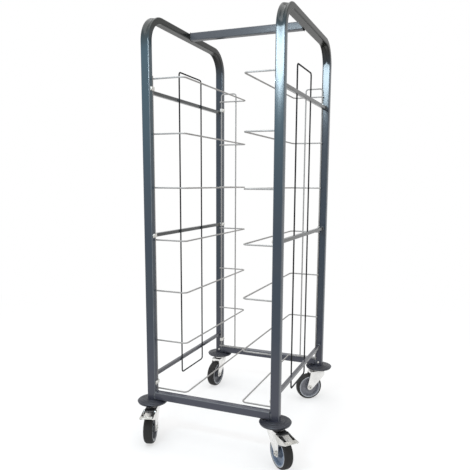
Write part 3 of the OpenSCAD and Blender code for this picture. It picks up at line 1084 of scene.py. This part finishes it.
@dataclass
class TrayRack:
    """Weld spots and screws of the wire racks. Sizes in metres, turns in radians."""

    wire: Material
    zinc: Material
    levels: int = 7
    leg_x: float = 0.2035
    stop_x: float = 0.1415
    touch_y: float = 0.252925
    spot: Triple = (0.0052, 0.0026, 0.0052)
    clips: tuple[tuple[int, float], ...] = ((1, -0.031), (4, 0.015), (7, 0.026))
    clip_face: float = 0.1985
    clip_turn: Span = (0.3, 5.0)
    upright_x: float = 0.215
    upright_y: float = 0.268
    upright_inner: float = 0.258
    foot_screw_z: float = 0.146
    foot_turn: Span = (0.8, 0.3)
    head_radius: float = 0.00475
    head_height: float = 0.0034
    head_hidden: float = 0.0035
    key_sides: int = 6
    key_radius: float = 0.0017
    key_length: float = 0.004
    key_lift: float = 0.0004

    def build(self) -> None:
        """Models the weld spots and the screws."""
        self._weld_spots()
        self._screws()

    def _weld_spots(self) -> None:
        """Spots where tray wires cross the rack legs and the stops."""
        places = []
        for level in range(1, self.levels + 1):
            z = middle_height(f"right_tray_wire_{level}")
            for side in BOTH:
                spots = [(self.leg_x, sign * self.touch_y) for sign in BOTH]
                spots.append((self.stop_x, self.touch_y))
                places += [Matrix.Translation((side * x, y, z)) for x, y in spots]
        piece = Bench.repeat(Bench.weld_spot(self.spot), places, "rack_weld_spots")
        attach(piece, "frame", self.wire)

    def _screws(self) -> None:
        """Domed screws with a hexagon socket, in place of the plain ones."""
        places = []
        for sx in BOTH:
            for sy in BOTH:
                for z in self._clip_heights():
                    at = Vector((sx * self.clip_face, sy * self.upright_y, z))
                    roll = self.clip_turn[0] + self.clip_turn[1] * z
                    places.append(upright(Vector((-sx, 0, 0)), at, roll))
                at = Vector((sx * self.upright_x, sy * self.upright_inner, self.foot_screw_z))
                roll = self.foot_turn[0] * sx + self.foot_turn[1] * sy
                places.append(upright(Vector((0, -sy, 0)), at, roll))
        piece = Bench.repeat(self._socket_head(), places, "socket_screws")
        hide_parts("frame_screws")
        attach(piece, "frame", self.zinc)

    def _socket_head(self) -> Object:
        """Models a domed screw head on z = 0 and sinks its hexagon socket.

        Returns:
            The head.
        """
        head = Bench.dome(self.head_radius, self.head_height, self.head_hidden)
        key = Bench.start(
            bpy.ops.mesh.primitive_cylinder_add, vertices=self.key_sides, radius=self.key_radius,
            depth=self.key_length, location=(0, 0, self.head_height + self.key_lift),
        )
        Bench.close(key)
        cut = head.modifiers.new("socket", "BOOLEAN")
        cut.operation = "DIFFERENCE"
        cut.object = key
        bpy.context.view_layer.objects.active = head
        bpy.ops.object.modifier_apply(modifier=cut.name)
        bpy.data.objects.remove(key)
        return head

    def _clip_heights(self) -> list[float]:
        """Heights of the three clips on each upright."""
        return [middle_height(f"right_tray_wire_{level}") + rise for level, rise in self.clips]


@dataclass
class Castor:
    """One castor, with the trim of its wheel and of its brake pedal. Sizes in metres."""

    corner: Corner
    zinc: Material
    pale: Material
    black: Material
    ring_radius: float = 0.0418
    ring_width: float = 0.0026
    ring_height: float = 0.0012
    ring_face: float = 0.0135
    ring_sides: int = 72
    ring_slack: float = 0.0005
    lip_top: float = 0.0025
    lip_ribs: Triple = (0.0495, 0.0535, 0.0575)
    rib: Triple = (0.0014, 0.036, 0.0012)
    cheek_face: float = 0.0212
    rivet_radius: float = 0.0042
    rivet_height: float = 0.0016
    rivet_hidden: float = 0.0006
    axle_end: float = 0.02335
    dark_end_radius: float = 0.0024
    dark_end_height: float = 0.0007
    dark_end_hidden: float = 0.0005
    dark_end_sides: int = 20
    dark_end_steps: int = 4

    def joint(self, motion: str) -> dict[str, Any]:
        """One of the castor's joints in the record.

        Args:
            motion: end of the joint's name.

        Returns:
            The joint.
        """
        name = f"{self.corner.value}_{motion}"
        joints = frame["record"]["behaviour"]["joints"]
        return next(joint for joint in joints if joint["name"] == name)

    @property
    def stem(self) -> Vector:
        """Middle of the swivel."""
        return Vector(self.joint("swivel_turn")["pos_m"])

    @property
    def axle(self) -> Vector:
        """Middle of the wheel."""
        return Vector(self.joint("wheel_spin")["pos_m"])

    @property
    def across(self) -> Vector:
        """Direction of the axle."""
        return Vector(self.joint("wheel_spin")["axis"])

    @property
    def pedal(self) -> Matrix:
        """Place of pieces modelled from an unpressed pedal's pivot, with its lip along +X.

        Returns:
            Their turn and place.
        """
        tip, way = self.joint("pedal_tip"), self.axle - self.stem
        press = math.radians(-tip["range_deg"][0])
        turn = Matrix.Rotation(math.atan2(way.y, way.x), 4, "Z") @ Matrix.Rotation(press, 4, "Y")
        return Matrix.Translation(Vector(tip["pos_m"])) @ turn

    @property
    def wheel_turn(self) -> Triple:
        """Angles that lay the axle along Z in a pattern."""
        return tuple(self.across.rotation_difference(Vector((0, 0, 1))).to_euler("XYZ"))

    def build(self) -> None:
        """Models the wheel's trim and the pedal's."""
        self._lip_rings()
        self._axle_plugs()
        if self.corner.braked:
            self._pedal_ribs()
            self._pin_rivets()

    def _ends(self, centre: Vector, reach: float) -> list[Matrix]:
        """Two places at a distance on both sides of a point, facing outwards along the axle."""
        return [upright(self.across * sign, centre + self.across * sign * reach) for sign in BOTH]

    def _lip_rings(self) -> None:
        """Pale rings between rim and tyre, on both sides of the wheel."""
        ring = Bench.start(
            bpy.ops.mesh.primitive_cylinder_add, vertices=self.ring_sides, radius=self.ring_radius,
            depth=self.ring_height, location=(0, 0, self.ring_height / 2),
        )
        Bench.choose(ring, Element.FACES, lambda face: abs(face.normal.z) > FACING)
        bpy.ops.mesh.inset(thickness=self.ring_width)
        bpy.ops.mesh.bridge_edge_loops()
        Bench.choose(ring, Element.EDGES, self._raised)
        bpy.ops.mesh.bevel(affect="EDGES", offset=self.ring_height * 0.4, segments=2)
        Bench.close(ring)
        label, places = self.corner.value, self._ends(self.axle, self.ring_face)
        piece = Bench.repeat(ring, places, f"{label}_lip_rings")
        attach(piece, f"{label}_wheel", self.pale)

    def _raised(self, edge: Any) -> bool:
        """Tells which edges run round the raised side of a ring.

        Args:
            edge: edge to judge.

        Returns:
            Whether it runs there.
        """
        first, second = (vert.co for vert in edge.verts)
        round_it = abs(first.xy.length - second.xy.length) < self.ring_slack
        return round_it and min(first.z, second.z) > self.ring_height * 0.4

    def _axle_plugs(self) -> None:
        """Dark domes on the ends of the axle bolt."""
        dark_end = Bench.dome(
            self.dark_end_radius, self.dark_end_height, self.dark_end_hidden, self.dark_end_sides, self.dark_end_steps,
        )
        label, places = self.corner.value, self._ends(self.axle, self.axle_end)
        piece = Bench.repeat(dark_end, places, f"{label}_axle_plugs")
        attach(piece, f"{label}_swivel", self.black)

    def _pedal_ribs(self) -> None:
        """Grip ribs across the foot lip."""
        thick = self.rib[2]
        rib = Bench.start(bpy.ops.mesh.primitive_cube_add, size=1.0, scale=self.rib)
        Bench.choose(rib, Element.EDGES, lambda edge: all(vert.co.z > 0 for vert in edge.verts))
        bpy.ops.mesh.bevel(affect="EDGES", offset=thick * 0.35, segments=2)
        Bench.close(rib)
        height, label = self.lip_top + thick * 0.3, self.corner.value
        places = [self.pedal @ Matrix.Translation((x, 0, height)) for x in self.lip_ribs]
        piece = Bench.repeat(rib, places, f"{label}_pedal_ribs")
        attach(piece, f"{label}_pedal", self.zinc)

    def _pin_rivets(self) -> None:
        """Rivet heads of the pedal's pin, on the outside of its cheeks."""
        head = Bench.dome(self.rivet_radius, self.rivet_height, self.rivet_hidden)
        pivot, label = Vector(self.joint("pedal_tip")["pos_m"]), self.corner.value
        places = self._ends(pivot, self.cheek_face)
        piece = Bench.repeat(head, places, f"{label}_pin_rivets")
        attach(piece, f"{label}_pedal", self.zinc)


def dress(material: Material, nodes: Iterable[str]) -> None:
    """Gives CAD nodes a material.

    Args:
        material: material to give.
        nodes: names of the nodes.
    """
    for name in nodes:
        slots = frame["nodes"][name].data.materials
        slots.clear()
        slots.append(material)
        LOG.info("%s wears %s", name, material.name)


def main() -> None:
    """Builds the studio, models the pieces and dresses every node."""
    logging.basicConfig(level=logging.INFO, format="%(name)s: %(message)s")
    Studio().build()
    tones = (
        GlossPaint(Tube.HOOP),
        # The crossbar's top takes a lighter colour, a painted highlight.
        GlossPaint(Tube.ALONG_X, painted_top_shading=(0.070, 0.070, 0.078)),
        GlossPaint(
            Tube.ALONG_Y, (0.029, 0.031, 0.031), painted_front_light=(0.042, 0.043, 0.043),
            dust=(0.042, 0.043, 0.043),
        ),
    )
    paints = {tone.tube: tone.material(f"frame_paint_{tone.tube.name.lower()}") for tone in tones}
    # The side loops wear a darker copy of the frame paint, as painted shade.
    loop_paint = GlossPaint(
        Tube.HOOP, (0.004, 0.0045, 0.005), painted_front_light=(0.004, 0.0045, 0.005),
        dust=(0.010, 0.011, 0.012), low_tone=(0.010, 0.011, 0.012), edge=(0.004, 0.0045, 0.005),
        roughness=0.45, coat=0.4,
    ).material("loop_paint")
    wire = BrightMetal().material("rack_wire")
    zinc = BrightMetal(
        (0.91, 0.90, 0.88), (0.66, 0.655, 0.64), roughness=0.20, crystal=140.0, metallic=1.0,
        relief=0.4,
    ).material("castor_zinc")
    pressed = BrightMetal(
        (0.74, 0.73, 0.70), (0.46, 0.45, 0.42), roughness=0.13, crystal=90.0, metallic=1.0,
        relief=0.8,
    ).material("pedal_zinc")
    screw = BrightMetal(
        (0.70, 0.69, 0.66), (0.54, 0.53, 0.50), roughness=0.28, crystal=260.0, metallic=0.9,
        relief=0.3,
    ).material("screw_zinc")
    black = MouldedPlastic(
        (0.008, 0.008, 0.009), (0.022, 0.022, 0.022), roughness=0.38,
    ).material("black_plastic")
    pale = MouldedPlastic(
        (0.46, 0.48, 0.51), (0.36, 0.37, 0.39), roughness=0.35,
    ).material("pale_plastic")
    looks = {
        "frame_paint": paints[Tube.HOOP], "rack_wire": wire, "fasteners": screw,
        "castor_zinc": zinc, "pedal_zinc": pressed, "brake_plastic": black,
        "socket_plastic": black,
    }
    for sub in frame["record"]["subparts"]:
        if sub["material_slot"] in looks:
            dress(looks[sub["material_slot"]], [sub["node"]])
    dress(paints[Tube.ALONG_X], ["top_crossbar", "front_bottom_rail", "back_bottom_rail"])
    for side in ("left", "right"):
        dress(paints[Tube.ALONG_Y], [f"{side}_{level}_bar" for level in BAR_LEVELS])
        dress(loop_paint, [f"{side}_side_loop"])
    TubeFrame(paints[Tube.HOOP]).build()
    TrayRack(wire, screw).build()
    # Rim colours by wheel stand in for light: the front right rim carries a painted bluish
    # reflection, the back right rim painted light, and the left rims the plain grey.
    painted_light_rims = {
        Corner.FRONT_RIGHT: WheelPlastic((0.150, 0.195, 0.270), (0.195, 0.225, 0.280)),
        Corner.BACK_RIGHT: WheelPlastic((0.175, 0.177, 0.203), (0.215, 0.217, 0.235)),
    }
    for corner in Corner:
        castor = Castor(corner, pressed, pale, black)
        castor.build()
        label, wheel = corner.value, (castor.axle, castor.wheel_turn)
        rim = painted_light_rims.get(corner, WheelPlastic())
        dress(RidgedRubber().material(f"{label}_bumper_rubber", castor.stem), [f"{label}_bumper"])
        dress(rim.material(f"{label}_rim_plastic", *wheel), [f"{label}_rim"])
        dress(WheelRubber().material(f"{label}_tyre_rubber", *wheel), [f"{label}_tyre"])


if __name__ == "__main__":
    main()
